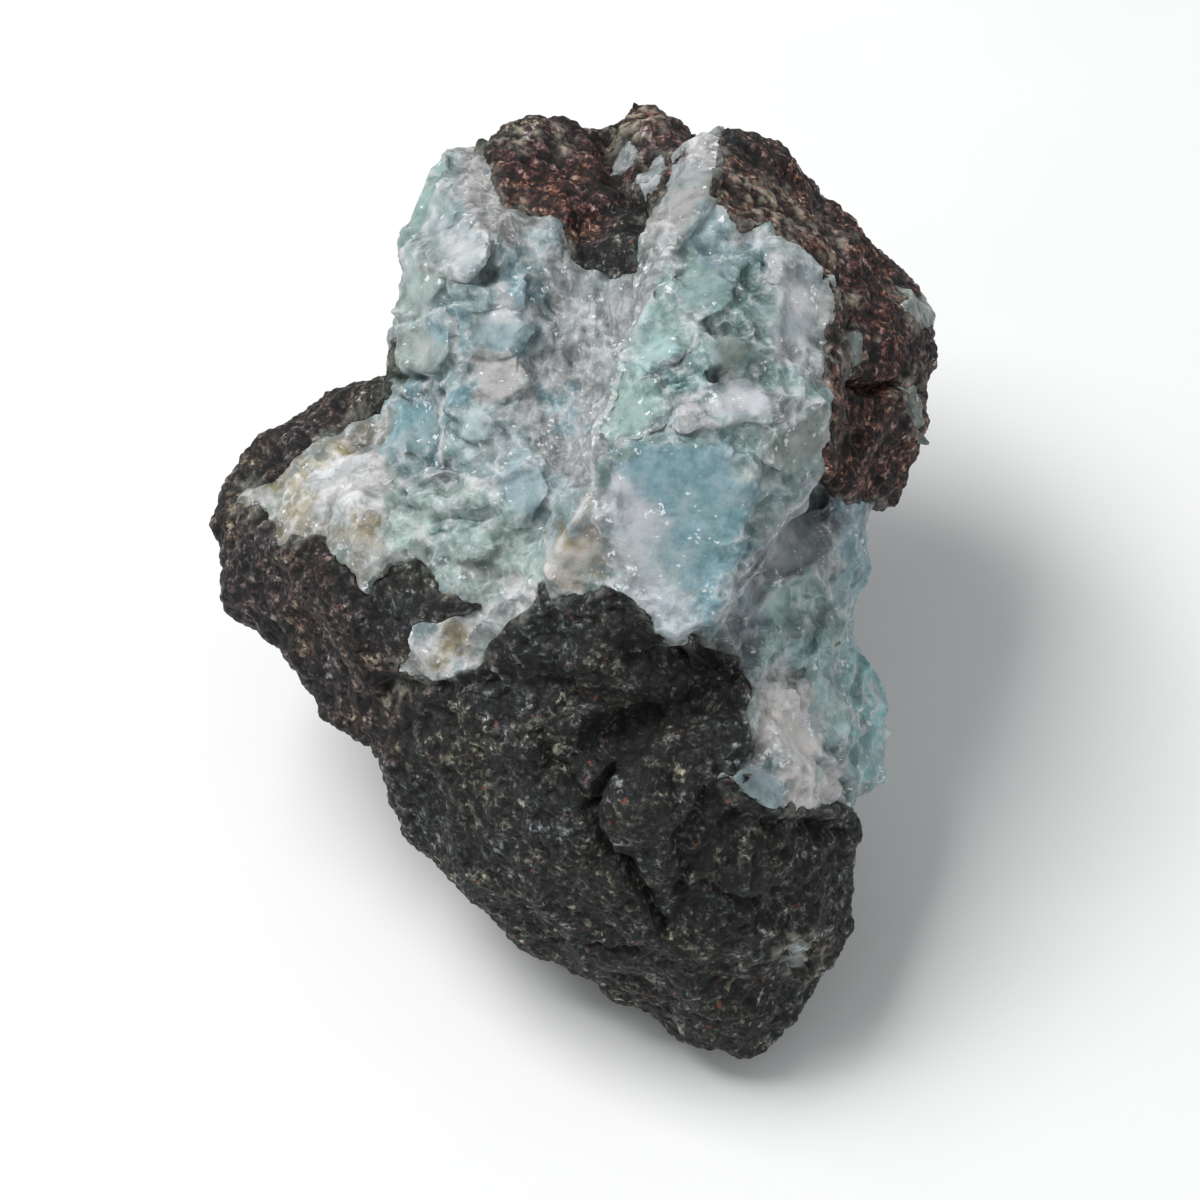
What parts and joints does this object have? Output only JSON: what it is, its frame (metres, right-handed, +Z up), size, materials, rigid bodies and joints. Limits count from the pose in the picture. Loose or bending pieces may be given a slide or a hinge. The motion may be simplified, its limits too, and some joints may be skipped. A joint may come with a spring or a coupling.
{
  "type": "rough larimar specimen",
  "caption": "Rough chunk of blue larimar grown through dark basalt, broken on one side, resting on a small flat foot.",
  "frame": {"origin": "middle of the bounding box at the level of the flat foot", "axes": "+Z up, -Y towards the broken blue face, which looks forwards and up, +X to the right of that face"},
  "size_m": [0.0622, 0.0726, 0.0576],
  "materials": {
    "larimar_in_basalt": "rough broken, waxy on the blue mineral and dull on the basalt"
  },
  "bodies": {
    "root": {"larimar_stone": "larimar_in_basalt"}
  },
  "joints": []
}
